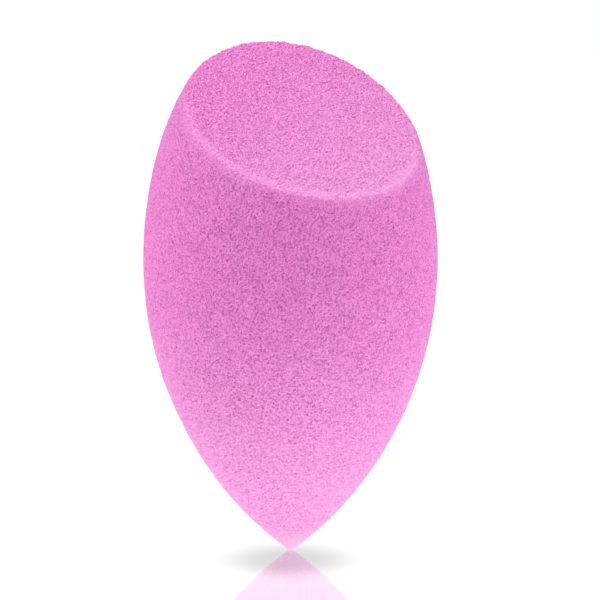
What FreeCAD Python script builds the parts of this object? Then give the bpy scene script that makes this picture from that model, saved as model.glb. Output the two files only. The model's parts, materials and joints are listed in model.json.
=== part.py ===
import FreeCAD, Part
import enum
import math
import os
import Sketcher

# Makeup sponge: one block of soft foam, shaped as a drop that stands on its pointed tip.
# Below its widest ring the drop is a pointed arch turned about its axis, and above it an egg-shaped dome.
# A slanted cut takes the top of the dome off and leaves a flat oval face with a softly rounded rim.
# The origin is the tip, +Z runs up the axis of the drop, and the flat face looks up and towards -Y.

# Driving sizes, in millimetres, and one angle in degrees: alias, value, meaning.
SIZES = [
    ("belly_diameter", 38.0, "widest diameter of the drop"),
    ("belly_height", 38.5, "height of the widest ring above the tip"),
    ("dome_rise", 32.4, "height of the whole dome above the widest ring, before the cut"),
    ("tip_radius", 0.8, "rounding of the pointed tip"),
    ("cut_rise", 21.8, "height above the widest ring at which the slanted cut crosses the axis"),
    ("cut_tilt", 32.0, "slant of the cut from level"),
    ("rim_radius", 1.2, "rounding of the rim round the flat face"),
    ("overrun", 2.0, "reach of the cut past the foam"),
]
SIZE_OF = {alias: value for alias, value, meaning in SIZES}


class Spot(enum.IntEnum):
    """The points of an arc or line, as a sketch constraint counts them."""

    START = 1
    END = 2
    CENTRE = 3


class Guide(enum.IntEnum):
    """A sketch's own origin and upright axis, as a constraint counts them."""

    ORIGIN = -1
    UPRIGHT = -2


ORIGIN = (Guide.ORIGIN, Spot.START)


def make_sheet(doc):
    """The spreadsheet of driving sizes, one aliased row each."""
    sheet = doc.addObject("Spreadsheet::Sheet", "sizes")
    for row, (alias, value, meaning) in enumerate(SIZES, start=1):
        sheet.set(f"A{row}", meaning)
        sheet.set(f"B{row}", str(value))
        sheet.setAlias(f"B{row}", alias)


def new_sketch(body, name, role):
    """An empty sketch on one of the body's own origin planes, found by its role."""
    plane = next(item for item in body.Origin.OriginFeatures if item.Role == role)
    sketch = body.newObject("Sketcher::SketchObject", name)
    sketch.AttachmentSupport = [(plane, "")]
    sketch.MapMode = "FlatFace"
    return sketch


def bind(sketch, name, formula, *rule):
    """Adds a dimension to a sketch, names it and ties it to the sheet."""
    index = sketch.addConstraint(Sketcher.Constraint(*rule))
    sketch.renameConstraint(index, name)
    sketch.setExpression(f"Constraints.{name}", formula)


def draw_drop(sketch):
    """Half outline of the uncut drop: tip, pointed arch, dome and the axis that closes it."""
    radius = SIZE_OF["belly_diameter"] / 2
    belly = SIZE_OF["belly_height"]
    rise = SIZE_OF["dome_rise"]
    tip = SIZE_OF["tip_radius"]
    # The arch has its centre level with the belly and runs into the tip's own small circle.
    arch = (radius**2 + (belly - tip) ** 2 - tip**2) / (2 * (radius - tip))
    lean = math.atan2(belly - tip, arch - radius)
    flat = FreeCAD.Vector(0, 0, 1)
    foot = FreeCAD.Vector(0, 0, 0)
    tip_centre = FreeCAD.Vector(0, tip, 0)
    arch_centre = FreeCAD.Vector(radius - arch, belly, 0)
    dome_centre = FreeCAD.Vector(0, belly, 0)
    crown = FreeCAD.Vector(0, belly + rise, 0)
    keel = FreeCAD.Vector(0, belly - rise, 0)
    widest = FreeCAD.Vector(radius, belly, 0)

    tip_circle = Part.Circle(tip_centre, flat, tip)
    arch_circle = Part.Circle(arch_centre, flat, arch)
    dome_oval = Part.Ellipse(crown, widest, dome_centre)
    tip_arc = sketch.addGeometry(Part.ArcOfCircle(tip_circle, -math.pi / 2, -lean))
    arch_arc = sketch.addGeometry(Part.ArcOfCircle(arch_circle, -lean, 0))
    dome_arc = sketch.addGeometry(Part.ArcOfEllipse(dome_oval, -math.pi / 2, 0))
    axis = sketch.addGeometry(Part.LineSegment(crown, foot))
    spine = sketch.addGeometry(Part.LineSegment(keel, crown), True)

    joins = [
        ("Coincident", tip_arc, Spot.START, *ORIGIN),
        ("PointOnObject", tip_arc, Spot.CENTRE, Guide.UPRIGHT),
        ("Tangent", tip_arc, Spot.END, arch_arc, Spot.START),
        ("Horizontal", arch_arc, Spot.CENTRE, arch_arc, Spot.END),
        ("Coincident", arch_arc, Spot.END, dome_arc, Spot.START),
        ("PointOnObject", dome_arc, Spot.CENTRE, Guide.UPRIGHT),
        ("Horizontal", dome_arc, Spot.CENTRE, dome_arc, Spot.START),
        ("InternalAlignment:EllipseMajorDiameter", spine, dome_arc),
        ("Vertical", spine),
        ("Coincident", dome_arc, Spot.END, axis, Spot.START),
        ("PointOnObject", dome_arc, Spot.END, Guide.UPRIGHT),
        ("Coincident", axis, Spot.END, *ORIGIN),
    ]
    sketch.addConstraint([Sketcher.Constraint(*rule) for rule in joins])
    at_tip = (*ORIGIN, tip_arc, Spot.CENTRE, tip)
    at_belly = (*ORIGIN, arch_arc, Spot.END)
    at_crown = (dome_arc, Spot.CENTRE, dome_arc, Spot.END, rise)
    bind(sketch, "tip_radius", "sizes.tip_radius", "DistanceY", *at_tip)
    bind(sketch, "belly_radius", "sizes.belly_diameter / 2", "DistanceX", *at_belly, radius)
    bind(sketch, "belly_height", "sizes.belly_height", "DistanceY", *at_belly, belly)
    bind(sketch, "dome_rise", "sizes.dome_rise", "DistanceY", *at_crown)


def turn_drop(body):
    """The uncut drop, turned about the upright axis."""
    sketch = new_sketch(body, "drop_outline", "XZ_Plane")
    draw_drop(sketch)
    drop = body.newObject("PartDesign::Revolution", "drop")
    drop.Profile = sketch
    drop.ReferenceAxis = (sketch, ["V_Axis"])
    drop.Angle = 360
    body.Document.recompute()
    return drop


def cut_face(body, drop):
    """The slanted cut: everything above a tilted plane comes off the dome."""
    sketch = new_sketch(body, "cut_outline", "XY_Plane")
    height = SIZE_OF["belly_height"] + SIZE_OF["cut_rise"]
    reach = SIZE_OF["belly_height"] + SIZE_OF["dome_rise"] + SIZE_OF["overrun"]
    tilt = FreeCAD.Rotation(FreeCAD.Vector(1, 0, 0), SIZE_OF["cut_tilt"])
    sketch.AttachmentOffset = FreeCAD.Placement(FreeCAD.Vector(0, 0, height), tilt)
    sketch.setExpression("AttachmentOffset.Base.z", "sizes.belly_height + sizes.cut_rise")
    sketch.setExpression("AttachmentOffset.Rotation.Angle", "sizes.cut_tilt")
    # The cut's round outline reaches past the foam on every side, whatever the slant.
    outline = Part.Circle(FreeCAD.Vector(0, 0, 0), FreeCAD.Vector(0, 0, 1), reach)
    ring = sketch.addGeometry(outline)
    sketch.addConstraint(Sketcher.Constraint("Coincident", ring, Spot.CENTRE, *ORIGIN))
    length = "sizes.belly_height + sizes.dome_rise + sizes.overrun"
    bind(sketch, "reach", length, "Radius", ring, reach)
    cut = body.newObject("PartDesign::Pocket", "slanted_cut")
    cut.Profile = sketch
    cut.Type = "ThroughAll"
    cut.Reversed = True
    body.Document.recompute()
    left_share = cut.Shape.Volume / drop.Shape.Volume
    print(f"the cut leaves {left_share:.3f} of the drop")
    if not 0 < left_share < 1:
        raise RuntimeError("the slanted cut takes nothing off the dome")
    return cut


def flat_face(shape):
    """The one flat face of the foam."""
    return next(face for face in shape.Faces if isinstance(face.Surface, Part.Plane))


def round_rim(body, cut):
    """The rounded rim, where the flat face meets the side of the drop."""
    rim = flat_face(cut.Shape).Edges
    names = [
        f"Edge{number}"
        for number, edge in enumerate(cut.Shape.Edges, start=1)
        if any(edge.isSame(other) for other in rim)
    ]
    rounding = body.newObject("PartDesign::Fillet", "rim_rounding")
    rounding.Base = (cut, names)
    rounding.setExpression("Radius", "sizes.rim_radius")


def check(doc, pieces):
    """Stops on a failed feature or a broken solid."""
    for item in doc.Objects:
        if {"Invalid", "Error"} & set(item.State):
            raise RuntimeError(f"{item.Name} failed: {item.State}")
    for piece in pieces:
        shape = piece.Shape
        if shape.isNull() or not shape.isValid() or len(shape.Solids) != 1:
            raise RuntimeError(f"{piece.Label} is not one sound solid")


def tell(piece):
    """Prints what the record needs: the box, the volume and the flat face."""
    shape = piece.Shape
    face = flat_face(shape)
    centre = face.CenterOfMass
    normal = face.normalAt(*face.Surface.parameter(centre))
    box = shape.BoundBox
    print(f"{piece.Label}: {box.XLength:.2f} x {box.YLength:.2f} x {box.ZLength:.2f} mm")
    print(f"lowest point z {box.ZMin:.3f} mm, volume {shape.Volume:.0f} mm3")
    print(f"flat face: area {face.Area:.1f} mm2, centre {tuple(centre)}, normal {tuple(normal)}")


def main():
    doc = FreeCAD.newDocument("makeup_sponge")
    make_sheet(doc)
    doc.recompute()
    sponge = doc.addObject("PartDesign::Body", "sponge_body")
    sponge.Label = "sponge_body"
    drop = turn_drop(sponge)
    cut = cut_face(sponge, drop)
    round_rim(sponge, cut)
    doc.recompute()
    check(doc, [sponge])
    tell(sponge)
    os.makedirs("parts", exist_ok=True)
    sponge.Shape.exportStep(f"parts/{sponge.Label}.step")


main()
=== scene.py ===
# %% [markdown]
# # A makeup sponge in Blender
# The real object is one block of soft pink foam, moulded as a drop and cut on a slant at its thick end. The
# CAD solid already fixes its size and place, so it is loaded first and nothing is fitted afterwards. This
# lesson then gives the block the look of foam, with its grain, its pores and its soft rim.

# %% Load the solid that everything is built around
import json
import math

import bpy
import numpy as np
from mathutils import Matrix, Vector


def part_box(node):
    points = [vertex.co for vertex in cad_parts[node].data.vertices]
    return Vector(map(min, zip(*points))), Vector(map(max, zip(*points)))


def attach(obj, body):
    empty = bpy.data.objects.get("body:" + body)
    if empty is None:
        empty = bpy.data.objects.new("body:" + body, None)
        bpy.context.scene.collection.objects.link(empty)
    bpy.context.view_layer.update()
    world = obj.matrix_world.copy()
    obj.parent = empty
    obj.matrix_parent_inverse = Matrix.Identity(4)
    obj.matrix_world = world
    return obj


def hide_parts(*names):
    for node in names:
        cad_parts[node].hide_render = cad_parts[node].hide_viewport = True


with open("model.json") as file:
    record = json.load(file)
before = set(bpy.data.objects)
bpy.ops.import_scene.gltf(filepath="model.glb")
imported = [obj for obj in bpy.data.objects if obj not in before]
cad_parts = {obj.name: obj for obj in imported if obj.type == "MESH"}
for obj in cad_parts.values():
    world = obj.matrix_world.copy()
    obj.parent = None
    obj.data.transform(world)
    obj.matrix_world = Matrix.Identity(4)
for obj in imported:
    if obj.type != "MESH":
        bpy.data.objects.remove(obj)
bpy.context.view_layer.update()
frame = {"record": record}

# %% [markdown]
# ## Sizes
# The widest ring and the slanted face can be read from the frame. The rest are the sizes that the drop is
# designed by. Blender works in metres, so a millimetre gets a name and sizes are written as a maker says
# them.

# %% Sizes of the drop
MM = 0.001
low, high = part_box("sponge_body")
BELLY_RADIUS = (high.x - low.x) / 2
BELLY_HEIGHT = 38.5 * MM
DOME_RISE = 32.4 * MM
TIP_RADIUS = 0.8 * MM

slanted_face = next(m for m in frame["record"]["mounts"] if m["name"] == "slanted_face")
FACE_NORMAL = Vector(slanted_face["axis"]).normalized()
FACE_POINT = Vector(slanted_face["pos_m"])
FACE_ACROSS = Vector((0, 0, 1)).cross(FACE_NORMAL).normalized()
FACE_DOWN = FACE_ACROSS.cross(FACE_NORMAL)
print(f"belly radius {BELLY_RADIUS / MM:.2f} mm, top of the foam at {high.z / MM:.2f} mm")
print("across and down the face:", FACE_ACROSS.to_tuple(2), FACE_DOWN.to_tuple(2))

# %% [markdown]
# ## Camera
# The photograph looks slightly down on the drop, from a little left of the slanted face. A long lens far
# away keeps the outline from bulging. The camera could be placed by eye, but here it is worked out: the
# elevation comes from how round the face's oval looks, and the distance follows from how wide a pixel is at
# the foam.

# %% Camera at the photograph's view
IMAGE_SIZE = 600
AIM_PIXEL = (290.5, 302.4)
PIXEL_WIDTH = 0.12991 * MM
AIM_HEIGHT = 33.1 * MM
AZIMUTH = math.radians(-22.8)
ELEVATION = math.radians(10)
LENS = 180
SENSOR = 36
CLIP_START = 10 * MM

view_right = Vector((math.cos(AZIMUTH), math.sin(AZIMUTH), 0))
view_level = Vector((math.sin(AZIMUTH), -math.cos(AZIMUTH), 0))
view_back = view_level * math.cos(ELEVATION) + Vector((0, 0, math.sin(ELEVATION)))
view_up = view_back.cross(view_right)

aim = Vector((0, 0, AIM_HEIGHT))
distance = PIXEL_WIDTH * IMAGE_SIZE * LENS / SENSOR
off_right = (IMAGE_SIZE / 2 - AIM_PIXEL[0]) * PIXEL_WIDTH
off_up = (AIM_PIXEL[1] - IMAGE_SIZE / 2) * PIXEL_WIDTH
middle = aim + view_right * off_right + view_up * off_up
place = aim + view_back * distance
turn = (place - middle).to_track_quat("Z", "Y").to_euler()

bpy.ops.object.select_all(action="DESELECT")
bpy.ops.object.camera_add(location=place, rotation=turn)
camera = bpy.context.object
camera.name = "photo_camera"
camera.data.lens = LENS
camera.data.sensor_width = SENSOR
camera.data.clip_start = CLIP_START
bpy.context.scene.camera = camera
print(f"camera {distance / MM:.0f} mm from the foam, at {tuple(round(c, 3) for c in place)}")

# %% [markdown]
# ## Shader sums as Python sums
# A material is a graph of nodes. Building it node by node hides what is being worked out, so one small
# class wraps an output socket. Adding or multiplying two wrapped sockets adds the Math node that does it,
# and `node` makes any other kind of node.

# %% A wrapped socket


class Signal:
    """An output socket that takes part in Python sums."""

    def __init__(self, tree, socket=None):
        self.tree = tree
        self.socket = socket

    def node(self, kind, sockets, settings=None, output=0):
        """Makes any node, with its settings first and then its sockets, and wraps one of its outputs."""
        made = self.tree.nodes.new(kind)
        for name, value in (settings or {}).items():
            setattr(made, name, value)
        for name, value in sockets.items():
            if isinstance(value, Signal):
                self.tree.links.new(value.socket, made.inputs[name])
            else:
                made.inputs[name].default_value = value
        return Signal(self.tree, made.outputs[output])

    def sum(self, operation, first, second):
        """A Math node on two values, wrapped or plain."""
        return self.node("ShaderNodeMath", {0: first, 1: second}, {"operation": operation})

    def __add__(self, other):
        return self.sum("ADD", self, other)

    def __radd__(self, other):
        return self.sum("ADD", other, self)

    def __sub__(self, other):
        return self.sum("SUBTRACT", self, other)

    def __rsub__(self, other):
        return self.sum("SUBTRACT", other, self)

    def __mul__(self, other):
        return self.sum("MULTIPLY", self, other)

    def __rmul__(self, other):
        return self.sum("MULTIPLY", other, self)

    def ease(self, start, end):
        """0 below start and 1 above end, with a smooth step between them."""
        sockets = {"Value": self, "From Min": start, "From Max": end}
        return self.node("ShaderNodeMapRange", sockets, {"interpolation_type": "SMOOTHSTEP"})

    def mix(self, first, second, blend_type="MIX"):
        """Two colours mixed, by as much as this value, which goes from 0 to 1."""
        # A Mix node has one set of sockets for each data type: 0 is the factor, 6 and 7 are the two colours.
        settings = {"data_type": "RGBA", "blend_type": blend_type}
        return self.node("ShaderNodeMix", {0: self, 6: first, 7: second}, settings, 2)


def new_material(name):
    """An empty node material, with its output node."""
    made = bpy.data.materials.new(name)
    made.use_nodes = True
    made.node_tree.nodes.clear()
    out = made.node_tree.nodes.new("ShaderNodeOutputMaterial")
    return made, Signal(made.node_tree), out


print("shader sums ready")

# %% [markdown]
# ## Table
# The photograph looks as if it was taken on a lacquered light table: its white has no edge or horizon, and
# under the tip lie a small round shade and a pale mirror image. A white diffuse plane would catch the foam's
# pink and a wide cast shadow, so this table is dark glass that glows, under a clear coat. The shade is a
# dimmer spot in the glow.

# %% Glowing table
TABLE_WIDTH = 1.2
TABLE_GLASS = (0.05, 0.05, 0.05, 1)
TABLE_GLOW = (0.80, 0.80, 0.80, 1)
TABLE_POLISH = 0.07
TABLE_IOR = 1.6
COAT_IOR = 1.9
SHADE_GLOW = (0.32, 0.32, 0.32, 1)
SHADE_EDGE = (2.5 * MM, 12 * MM)
SHADE_CENTRE = 5.0 * MM * view_level - 0.3 * MM * view_right

bpy.ops.object.select_all(action="DESELECT")
bpy.ops.mesh.primitive_plane_add(size=TABLE_WIDTH)
table = bpy.context.object
table.name = "light_table"
finish, start, out = new_material("light_table")
at = start.node("ShaderNodeTexCoord", {}, output="Object")
from_shade = start.node("ShaderNodeVectorMath", {0: at, 1: SHADE_CENTRE}, {"operation": "DISTANCE"}, "Value")
glow = from_shade.ease(*SHADE_EDGE).mix(SHADE_GLOW, TABLE_GLOW)
lacquer = start.node(
    "ShaderNodeBsdfPrincipled",
    {
        "Base Color": TABLE_GLASS,
        "Roughness": TABLE_POLISH,
        "IOR": TABLE_IOR,
        "Coat Weight": 1.0,
        "Coat Roughness": TABLE_POLISH,
        "Coat IOR": COAT_IOR,
        "Emission Color": glow,
        "Emission Strength": 1.0,
    },
)
finish.node_tree.links.new(lacquer.socket, out.inputs["Surface"])
table.data.materials.append(finish)
print(f"table {TABLE_WIDTH} m wide, with a shade {2 * SHADE_EDGE[1] / MM:.0f} mm across under the tip")

# %% [markdown]
# ## Tent
# Round the table stands a white tent. Seen straight or in the table's mirror it is plain white, but it
# sends little light to the foam itself, or the sides of the drop would lose their shape. The Light Path
# node tells these cases apart. The Standard view transform keeps white at white.

# %% White tent
TENT_GLOW = 0.1
tent = bpy.data.worlds.new("light_tent")
tent.use_nodes = True
tent.node_tree.nodes.clear()
sky = Signal(tent.node_tree)
seen = sky.node("ShaderNodeLightPath", {}, output="Is Camera Ray")
mirrored = sky.node("ShaderNodeLightPath", {}, output="Is Glossy Ray")
strength = TENT_GLOW + (1 - TENT_GLOW) * (seen + mirrored)
cloth = sky.node("ShaderNodeBackground", {"Color": (1, 1, 1, 1), "Strength": strength})
sky_out = tent.node_tree.nodes.new("ShaderNodeOutputWorld")
tent.node_tree.links.new(cloth.socket, sky_out.inputs["Surface"])
bpy.context.scene.world = tent
bpy.context.scene.view_settings.view_transform = "Standard"
print(f"tent of {len(tent.node_tree.nodes)} nodes")

# %% [markdown]
# ## Lamps
# In the photograph both sides of the drop and its slanted face are bright, the front is darker under the
# rim, and the light grows again towards the tip. So two large soft boxes stand left and right, above the
# foam, a weak one fills the front, and a wide lamp shines up from below. That one sits under the table,
# which lets its light through by casting no shadow. The rays that bounce off the foam would stop at the
# table, so this lamp is only sampled directly, without Cycles' multiple importance sampling.

# %% Soft boxes and the lamp in the table
RIG_DISTANCE = 1.8
BOX_WIDTH = 1.2
TABLE_LAMP_WIDTH = 1.0
TABLE_LAMP_DEPTH = 20 * MM


def lamp_at(name, spot, facing, width, watts):
    """A square lamp that the camera doesn't see."""
    bpy.ops.object.light_add(type="AREA", location=spot, rotation=facing)
    lamp = bpy.context.object
    lamp.name = name
    lamp.data.shape = "SQUARE"
    lamp.data.size = width
    lamp.data.energy = watts
    lamp.visible_camera = False
    print(f"{name}: {watts} W at {tuple(round(c, 2) for c in spot)}")
    return lamp


def soft_box(name, azimuth, elevation, watts):
    """A soft box round the foam, as seen from the camera: azimuth 0 is the camera's own side."""
    flat = math.cos(math.radians(elevation)) * RIG_DISTANCE
    angle = AZIMUTH + math.radians(azimuth)
    rise = math.sin(math.radians(elevation)) * RIG_DISTANCE
    spot = aim + Vector((math.sin(angle) * flat, -math.cos(angle) * flat, rise))
    facing = (spot - aim).to_track_quat("Z", "Y").to_euler()
    lamp_at(name, spot, facing, BOX_WIDTH, watts)


soft_box("left_box", azimuth=-90, elevation=55, watts=30.0)
soft_box("right_box", azimuth=90, elevation=55, watts=18.9)
soft_box("front_fill", azimuth=40, elevation=25, watts=6.3)
under_table = lamp_at("table_lamp", (0, 0, -TABLE_LAMP_DEPTH), (math.pi, 0, 0), TABLE_LAMP_WIDTH, watts=2.25)
under_table.data.cycles.use_multiple_importance_sampling = False
table.visible_shadow = False

# %% [markdown]
# ## The drop, spun from half its outline
# The mould of the real sponge is a turned shape, so its mesh is turned too: one vertex is extruded along
# half the outline, and that line is spun once round the axis. A pointed arch runs from the rounded tip up
# to the belly, and half an oval from the belly to the crown. Sculpting a sphere could get near it, but a
# spun outline has the right curve at every height.

# %% Half the outline, then the spin
TIP_STEPS = 6
ARCH_STEPS = 90
DOME_STEPS = 90
SPIN_STEPS = 240
MERGE_DISTANCE = 0.001 * MM


def oval(centre, half_width, half_height, start, end, steps):
    """Points of an oval's stretch in the XZ plane, from one angle to another."""
    angles = np.linspace(start, end, steps + 1)
    across = centre[0] + half_width * np.cos(angles)
    upward = centre[1] + half_height * np.sin(angles)
    return [Vector((x, 0, z)) for x, z in zip(across, upward)]


# The arch is a circle centred level with the belly, and it runs smoothly into the tip's own small circle.
tip_rise = BELLY_HEIGHT - TIP_RADIUS
arch_radius = (BELLY_RADIUS**2 + tip_rise**2 - TIP_RADIUS**2) / (2 * (BELLY_RADIUS - TIP_RADIUS))
arch_lean = math.atan2(tip_rise, arch_radius - BELLY_RADIUS)
arch_centre = (BELLY_RADIUS - arch_radius, BELLY_HEIGHT)
quarter = math.pi / 2
outline = oval((0, TIP_RADIUS), TIP_RADIUS, TIP_RADIUS, -quarter, -arch_lean, TIP_STEPS)
outline += oval(arch_centre, arch_radius, arch_radius, -arch_lean, 0, ARCH_STEPS)[1:]
outline += oval((0, BELLY_HEIGHT), BELLY_RADIUS, DOME_RISE, 0, quarter, DOME_STEPS)[1:]

bpy.ops.object.select_all(action="DESELECT")
bpy.ops.mesh.primitive_plane_add(size=TIP_RADIUS)
mould = bpy.context.object
mould.name = "mould"
bpy.ops.object.mode_set(mode="EDIT")
bpy.ops.mesh.select_all(action="SELECT")
bpy.ops.mesh.merge(type="CENTER")
for here, there in zip(outline, outline[1:]):
    bpy.ops.mesh.extrude_vertices_move(TRANSFORM_OT_translate={"value": there - here})
bpy.ops.mesh.select_all(action="SELECT")
bpy.ops.mesh.spin(steps=SPIN_STEPS, angle=2 * math.pi, center=(0, 0, 0), axis=(0, 0, 1))
bpy.ops.mesh.select_all(action="SELECT")
bpy.ops.mesh.remove_doubles(threshold=MERGE_DISTANCE)
bpy.ops.mesh.normals_make_consistent(inside=False)
bpy.ops.object.mode_set(mode="OBJECT")
print(f"drop spun from {len(outline)} points: {len(mould.data.polygons)} faces")

# %% [markdown]
# ## The slanted cut
# The thick end of the real sponge is sliced off at a slant, which gives the face that spreads the make-up.
# Bisect does the same to the mesh in one stroke: it cuts along the plane, throws the outer side away and
# fills the hole. In the photograph the face bows down a hair to its left and right. Bisect only cuts
# straight, so the drop is bent up by that much first, and the foam is bent back once its skin is even.

# %% Slice the dome along the face's plane
BOW_RADIUS = 131 * MM
BOW_TURN = 0.19


def corners_of(piece):
    """The places of a mesh's vertices, one row each."""
    places = np.empty(len(piece.data.vertices) * 3)
    piece.data.vertices.foreach_get("co", places)
    return places.reshape(-1, 3)


def sag(places):
    """How far the cut bows down under its plane, at points across the face."""
    bow_way = (FACE_ACROSS + BOW_TURN * FACE_DOWN).normalized()
    return ((places - np.array(FACE_POINT)) @ np.array(bow_way)) ** 2 / (2 * BOW_RADIUS)


def bend(piece, share):
    """Moves a mesh along the face's normal, by a share of the bow."""
    places = corners_of(piece)
    places += share * np.outer(sag(places), np.array(FACE_NORMAL))
    piece.data.vertices.foreach_set("co", places.ravel())
    piece.data.update()


bend(mould, 1)
bpy.ops.object.mode_set(mode="EDIT")
bpy.ops.mesh.select_all(action="SELECT")
bpy.ops.mesh.bisect(plane_co=FACE_POINT, plane_no=FACE_NORMAL, use_fill=True, clear_outer=True)
bpy.ops.mesh.select_all(action="SELECT")
bpy.ops.mesh.normals_make_consistent(inside=False)
bpy.ops.object.mode_set(mode="OBJECT")
top = max(corner.co.z for corner in mould.data.vertices)
print(f"cut drop: {len(mould.data.polygons)} faces, sharp top at {top / MM:.2f} mm")

# %% [markdown]
# ## Even foam skin
# A spun mesh has long thin faces at the tip and one huge face on the cut, and neither can carry a fine
# grain. A voxel remesh covers the whole block with small even squares, and Shrinkwrap then lays each of
# them back on the true curve, which takes the remesh's faint steps away.

# %% Remesh and lay back on the mould
VOXEL = 0.55 * MM


def apply(piece, kind, **settings):
    """Adds a modifier, sets it and applies it."""
    bpy.ops.object.select_all(action="DESELECT")
    piece.select_set(True)
    bpy.context.view_layer.objects.active = piece
    modifier = piece.modifiers.new(kind.lower(), kind)
    for name, value in settings.items():
        setattr(modifier, name, value)
    bpy.ops.object.modifier_apply(modifier=modifier.name)


bpy.ops.object.select_all(action="DESELECT")
mould.select_set(True)
bpy.context.view_layer.objects.active = mould
bpy.ops.object.duplicate()
foam = bpy.context.object
foam.name = "sponge_foam"
apply(foam, "REMESH", mode="VOXEL", voxel_size=VOXEL)
apply(foam, "SHRINKWRAP", target=mould, wrap_method="NEAREST_SURFACEPOINT")
bend(foam, -1)
bend(mould, -1)
print(f"even skin: {len(foam.data.polygons)} faces")

# %% [markdown]
# ## Soft rim
# Where the cut meets the side, foam doesn't keep an edge: it rounds over. A bevel needs long clean faces
# beside the edge, and this skin has small ones, so the rim is relaxed instead. Each vertex gets a weight by
# how near the sharp edge it lies, and the Smooth modifier works only there. Weights are given out in a few
# even steps, because one call can then set all the vertices of a step.

# %% Relax the rim
RIM_REACH = 2.6 * MM
RIM_PASSES = 2
RIM_STRENGTH = 0.5
WEIGHT_STEPS = 16


def smooth_step(values, start, end):
    """0 below start and 1 above end, with a smooth step between them."""
    share = np.clip((values - start) / (end - start), 0, 1)
    return share * share * (3 - 2 * share)


def depths(places):
    """How deep points lie under the cut, and under the dome's own surface."""
    under_face = (np.array(FACE_POINT) - places) @ np.array(FACE_NORMAL) - sag(places)
    radius = np.hypot(places[..., 0], places[..., 1])
    rise = np.maximum(places[..., 2] - BELLY_HEIGHT, 0)
    # The dome is an oval turned about the axis. Its level sets give the distance to it, near the surface.
    level = (radius / BELLY_RADIUS) ** 2 + (rise / DOME_RISE) ** 2
    steep = 2 * np.hypot(radius / BELLY_RADIUS**2, rise / DOME_RISE**2)
    return under_face, (1 - level) / np.maximum(steep, 1 / BELLY_RADIUS)


def weigh(piece, name, weights):
    """A vertex group with the given weights, rounded to even steps."""
    group = piece.vertex_groups.new(name=name)
    steps = np.round(weights * WEIGHT_STEPS)
    for step in range(1, WEIGHT_STEPS + 1):
        group.add(np.flatnonzero(steps == step).tolist(), step / WEIGHT_STEPS, "REPLACE")


rim_weight = 1 - smooth_step(np.hypot(*depths(corners_of(foam))), RIM_REACH / 2, RIM_REACH)
weigh(foam, "rim", rim_weight)
apply(foam, "SMOOTH", factor=RIM_STRENGTH, iterations=RIM_PASSES, vertex_group="rim")
print(f"rim relaxed on {int((rim_weight > 0).sum())} vertices")

# %% [markdown]
# ## A skin fine enough for pores
# The pores of this foam are a third of a millimetre wide. The even skin is divided twice with Subdivision
# Surface, which also keeps the curves round. It rounds the small point off too, so the tip is laid back on
# the mould once more. A slow cloud texture then lets the block swell and sink by a hair, because soft foam
# is never true. Multiresolution could do the dividing, but nothing here is sculpted.

# %% Divide the skin and let it swell
SKIN_DIVISIONS = 2
TIP_WRAP = (4 * MM, 8 * MM)
SWELL_SIZE = 9 * MM
SWELL_DEPTH = 0.10 * MM


def cloud(name, size):
    """A soft cloud texture with blobs of one size."""
    texture = bpy.data.textures.new(name, "CLOUDS")
    texture.noise_scale = size
    texture.noise_basis = "IMPROVED_PERLIN"
    texture.noise_depth = 0
    return texture


apply(foam, "SUBSURF", levels=SKIN_DIVISIONS, render_levels=SKIN_DIVISIONS)
weigh(foam, "tip", 1 - smooth_step(corners_of(foam)[:, 2], *TIP_WRAP))
apply(foam, "SHRINKWRAP", target=mould, wrap_method="NEAREST_SURFACEPOINT", vertex_group="tip")
bpy.data.objects.remove(mould)
swell = cloud("swell", SWELL_SIZE)
apply(foam, "DISPLACE", texture=swell, texture_coords="LOCAL", strength=SWELL_DEPTH, mid_level=0.5)
skin = corners_of(foam)
normals = np.empty(skin.size)
foam.data.vertices.foreach_get("normal", normals)
outward = normals.reshape(-1, 3)
under_cut, under_side = depths(skin)
to_edge = np.hypot(under_cut, under_side)
print(f"skin of {len(skin)} vertices")

# %% [markdown]
# ## Pits and grain
# Real pores are holes, so they are modelled and not only painted. Displace pushes the skin in wherever a
# Voronoi cell has its middle, which gives close round pits, and a fine cloud roughens what is left between
# them. The front lip of the cut and the tip are calmer in the photograph, so a vertex group holds the grain
# back there. How far each vertex moved is kept, because the finish paints shade into the pits by it. The
# grain may leave the tip a little high, so the foam is set down until its lowest point touches the table.

# %% Displace the pits and the grain
PIT_SPACING = 0.36 * MM
PIT_DEPTH = 0.22 * MM
PIT_LEVEL = 0.9
PIT_SLOPE = (0.10, 0.42)
GRAIN_SIZE = 0.20 * MM
GRAIN_DEPTH = 0.28 * MM
GRAIN_LEVEL = 0.5
CALM_RIM = (0.2 * MM, 1.3 * MM)
CALM_LIP = (-2 * MM, 5 * MM)
LIP_TURN = -0.45
CALM_TIP = (0, 8 * MM)
CALM_SHARE = 0.5

pits = bpy.data.textures.new("pits", "VORONOI")
pits.noise_scale = PIT_SPACING
pits.use_color_ramp = True
for stop, position, shade in zip(pits.color_ramp.elements, PIT_SLOPE, (0, 1)):
    stop.position = position
    stop.color = (shade, shade, shade, 1)
grain = cloud("grain", GRAIN_SIZE)

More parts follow.
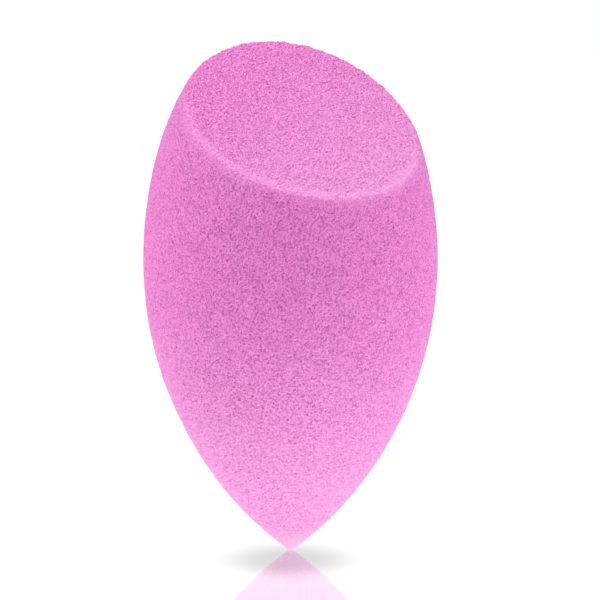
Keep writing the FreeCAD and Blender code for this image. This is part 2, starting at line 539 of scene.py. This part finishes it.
from_face = skin - np.array(FACE_POINT)
lip_way = (FACE_DOWN + LIP_TURN * FACE_ACROSS).normalized()
on_lip = smooth_step(from_face @ np.array(lip_way), *CALM_LIP)
calm = np.maximum(on_lip * (1 - smooth_step(to_edge, *CALM_RIM)), 1 - smooth_step(skin[:, 2], *CALM_TIP))
grainy = 1 - CALM_SHARE * calm
weigh(foam, "grainy", grainy)
for texture, depth, level in ((pits, PIT_DEPTH, PIT_LEVEL), (grain, GRAIN_DEPTH, GRAIN_LEVEL)):
    settings = {"texture_coords": "LOCAL", "mid_level": level, "vertex_group": "grainy"}
    apply(foam, "DISPLACE", texture=texture, strength=depth, **settings)
foam.vertex_groups.clear()
raised = ((corners_of(foam) - skin) * outward).sum(axis=1)
bpy.ops.object.shade_smooth()
lowest = corners_of(foam)[:, 2].min()
bpy.ops.transform.translate(value=(0, 0, -lowest))
bpy.ops.object.transform_apply()
print(f"foam set down by {lowest / MM:.3f} mm")
print("grain heights, mm:", (np.percentile(raised, [1, 16, 50, 84, 99]) / MM).round(3))

# %% [markdown]
# ## Masks for the finish
# The foam is given painted light: its colour pales towards the tip and down the slanted face, and a thin
# painted highlight follows the lip. The painted shade in the pores is stronger on the cut than on the
# moulded side, and weaker where light is painted. All this depends on the place, so it is worked out once
# for each vertex and kept in attributes. A material could find it from Object coordinates, with many more
# nodes.

# %% Attributes that the finish reads
# Painted light: the colour pales towards the tip, more at the very point, and down the slanted face.
TIP_PAINTED_LIGHT, TIP_FADE = 0.43, (-4 * MM, 40 * MM)
POINT_PAINTED_LIGHT, POINT_FADE = 0.5, (0, 5 * MM)
FACE_PAINTED_LIGHT, FACE_FADE = 0.27, (-14 * MM, 18 * MM)
FADE_TURN = 0.7
# A painted highlight along the lip: how bright it is, and how far from the edge it reaches.
LIP_PAINTED_HIGHLIGHT, LIP_HIGHLIGHT_REACH = 0.08, (0.4 * MM, 1.3 * MM)
FACE_SKIN = (0.05 * MM, 0.35 * MM)
# How strong the painted shade in the pores is on the wall, on the face, and where light is painted.
WALL_PORE_SHADE, FACE_PORE_SHADE, PORE_SHADE_UNDER_PAINTED_LIGHT = 0.85, 1.15, 0.1


def write_attribute(piece, name, values):
    """Keeps one value for each vertex in the mesh."""
    made = piece.data.attributes.new(name, "FLOAT", "POINT")
    made.data.foreach_set("value", values)


on_face = 1 - smooth_step(under_cut, *FACE_SKIN)
fade_way = (FACE_DOWN + FADE_TURN * FACE_ACROSS).normalized()
# Painted light: paler towards the tip, and most at the very point.
painted_tip_light = TIP_PAINTED_LIGHT * (1 - smooth_step(skin[:, 2], *TIP_FADE))
painted_tip_light += POINT_PAINTED_LIGHT * (1 - smooth_step(skin[:, 2], *POINT_FADE))
# Painted light: paler down and across the slanted face.
painted_face_light = FACE_PAINTED_LIGHT * on_face * smooth_step(from_face @ np.array(fade_way), *FACE_FADE)
# A painted highlight along the front lip of the cut.
painted_lip_highlight = LIP_PAINTED_HIGHLIGHT * on_face * on_lip * (1 - smooth_step(to_edge, *LIP_HIGHLIGHT_REACH))
# The painted light and the painted lip highlight, in one mask.
painted_light = np.maximum(painted_tip_light, painted_face_light) + painted_lip_highlight
# Painted shade in the pores: stronger on the cut, weaker under painted light and where the grain is calmed.
pore_shade_strength = (WALL_PORE_SHADE + (FACE_PORE_SHADE - WALL_PORE_SHADE) * on_face) * (1 - (1 - PORE_SHADE_UNDER_PAINTED_LIGHT) * painted_light)
pore_shade_strength *= (1 + grainy) / 2
write_attribute(foam, "pore_shade_strength", pore_shade_strength)
write_attribute(foam, "painted_light", painted_light)
write_attribute(foam, "raised", raised / MM)
print("paleness of wall and face:", painted_light[on_face < 0.5].mean().round(2), painted_light[on_face > 0.5].mean().round(2))

# %% [markdown]
# ## A map for baking
# When the foam is used elsewhere, its colours are baked into a picture, and that needs a flat map. Smart UV
# Project would tear this rough skin into thousands of scraps. The drop unrolls like a can's label instead,
# as angle by length along the outline, and the cut and the very tip are laid flat beside it. The smooth
# skin from before the pits is what gets mapped, so no face folds over.

# %% Unroll the skin
MAP_EDGE = 0.012
TIP_PATCH = 2.0 * MM
FACE_GROWTH = 1.2
FACE_SPOT = (0.25, 0.81)
TIP_SPOT = (0.6, 0.81)

quads = np.empty(len(foam.data.loops), dtype=np.int32)
foam.data.loops.foreach_get("vertex_index", quads)
spots = skin[quads.reshape(-1, 4)]
middles = spots.mean(axis=1)
map_scale = (1 - 3 * MAP_EDGE) / (2 * math.pi * BELLY_RADIUS)

# The angle runs from the back round to the back. A face on that seam keeps its corners together.
angle = np.arctan2(spots[..., 0], -spots[..., 1])
on_seam = np.ptp(angle, axis=1) > math.pi
angle[on_seam] = np.where(angle[on_seam] < 0, angle[on_seam] + 2 * math.pi, angle[on_seam])
curve = np.array(outline)
length = np.r_[0, np.cumsum(np.linalg.norm(np.diff(curve, axis=0), axis=1))]
rise_along = np.arctan2(curve[:, 2] - BELLY_HEIGHT, curve[:, 0])
rise = np.arctan2(spots[..., 2] - BELLY_HEIGHT, np.hypot(spots[..., 0], spots[..., 1]))
along = np.interp(rise, rise_along, length)
uv = MAP_EDGE + map_scale * np.stack([(angle + math.pi) * BELLY_RADIUS, along], axis=-1)

under_face, under_dome = depths(middles)
on_cut = (under_face < under_dome) & (middles[:, 2] > BELLY_HEIGHT)
from_cut = spots[on_cut] - np.array(FACE_POINT)
flat = np.stack([from_cut @ np.array(FACE_ACROSS), -from_cut @ np.array(FACE_DOWN)], axis=-1)
uv[on_cut] = np.array(FACE_SPOT) + FACE_GROWTH * map_scale * flat
at_tip = middles[:, 2] < TIP_PATCH
uv[at_tip] = np.array(TIP_SPOT) + map_scale * spots[at_tip][..., :2] * np.array((1, -1))

bake_map = foam.data.uv_layers.new(name="OFBake")
bake_map.data.foreach_set("uv", uv.ravel())
print("map spans", uv.min(axis=(0, 1)).round(3), "to", uv.max(axis=(0, 1)).round(3))

# %% [markdown]
# ## Foam finish
# The colour is an orchid pink that turns to a paler pink where the mask says so, and that paler pink is
# painted light. Pits and a fine speckle darken it, which is painted shade in the pores, where light is lost.
# The speckle is too fine for the mesh, so it also drives a little bump on top of the modelled pits. Foam
# scatters light, which gives it a soft, even sheen: the roughness is high and the gloss low.

# %% Foam material
FOAM_PINK = (0.88, 0.263, 0.69, 1)
# The paler pink of the painted light.
PAINTED_LIGHT_PINK = (0.98, 0.555, 0.87, 1)
# The colour of the painted shade in the pores.
PORE_SHADE_TINT = (0.55, 0.32, 0.50, 1)
PIT_SHADE_LEVELS = (-0.18, 0.08)
PIT_SHADE_SHARE = 0.4
SPECKLE_SIZE = 0.20 * MM
SPECKLE_DETAIL = 1.0
SPECKLE_BITE = 0.7
SPECKLE_SHADE_LEVELS = (0.36, 0.56)
SPECKLE_SHADE_SHARE = 0.85
SPECKLE_HEIGHT = 0.12 * MM
FOAM_ROUGHNESS = 0.55
FOAM_GLOSS = 0.37

finish, start, out = new_material("sponge_foam")


def mask(name):
    """One of the foam's attributes, for the shader."""
    return start.node("ShaderNodeAttribute", {}, {"attribute_name": name}, "Fac")


at = start.node("ShaderNodeTexCoord", {}, output="Object")
noise = {"Vector": at, "Scale": 1 / SPECKLE_SIZE, "Detail": SPECKLE_DETAIL, "Roughness": SPECKLE_BITE}
speckle = start.node("ShaderNodeTexNoise", noise, output="Fac")
# Painted shade: the pits darken by how deep each vertex sank, and the speckle darkens the finest pores.
pit_shade = 1 - mask("raised").ease(*PIT_SHADE_LEVELS)
speckle_shade = 1 - speckle.ease(*SPECKLE_SHADE_LEVELS)
pore_shade = (pit_shade * PIT_SHADE_SHARE + speckle_shade * SPECKLE_SHADE_SHARE) * mask("pore_shade_strength")
# Painted light: the pink turns paler where the mask says so.
pink_and_painted_light = mask("painted_light").mix(FOAM_PINK, PAINTED_LIGHT_PINK)
colour = pore_shade.mix(pink_and_painted_light, PORE_SHADE_TINT, "MULTIPLY")
relief = start.node("ShaderNodeBump", {"Height": speckle, "Strength": 1.0, "Distance": SPECKLE_HEIGHT})
shader = start.node(
    "ShaderNodeBsdfPrincipled",
    {"Base Color": colour, "Normal": relief, "Roughness": FOAM_ROUGHNESS, "Specular IOR Level": FOAM_GLOSS},
)
finish.node_tree.links.new(shader.socket, out.inputs["Surface"])
foam.data.materials.clear()
foam.data.materials.append(finish)
print(f"foam material: {len(finish.node_tree.nodes)} nodes")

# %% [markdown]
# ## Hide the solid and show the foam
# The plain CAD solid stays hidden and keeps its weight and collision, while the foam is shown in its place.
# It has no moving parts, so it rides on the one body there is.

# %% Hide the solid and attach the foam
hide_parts("sponge_body")
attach(foam, "root")
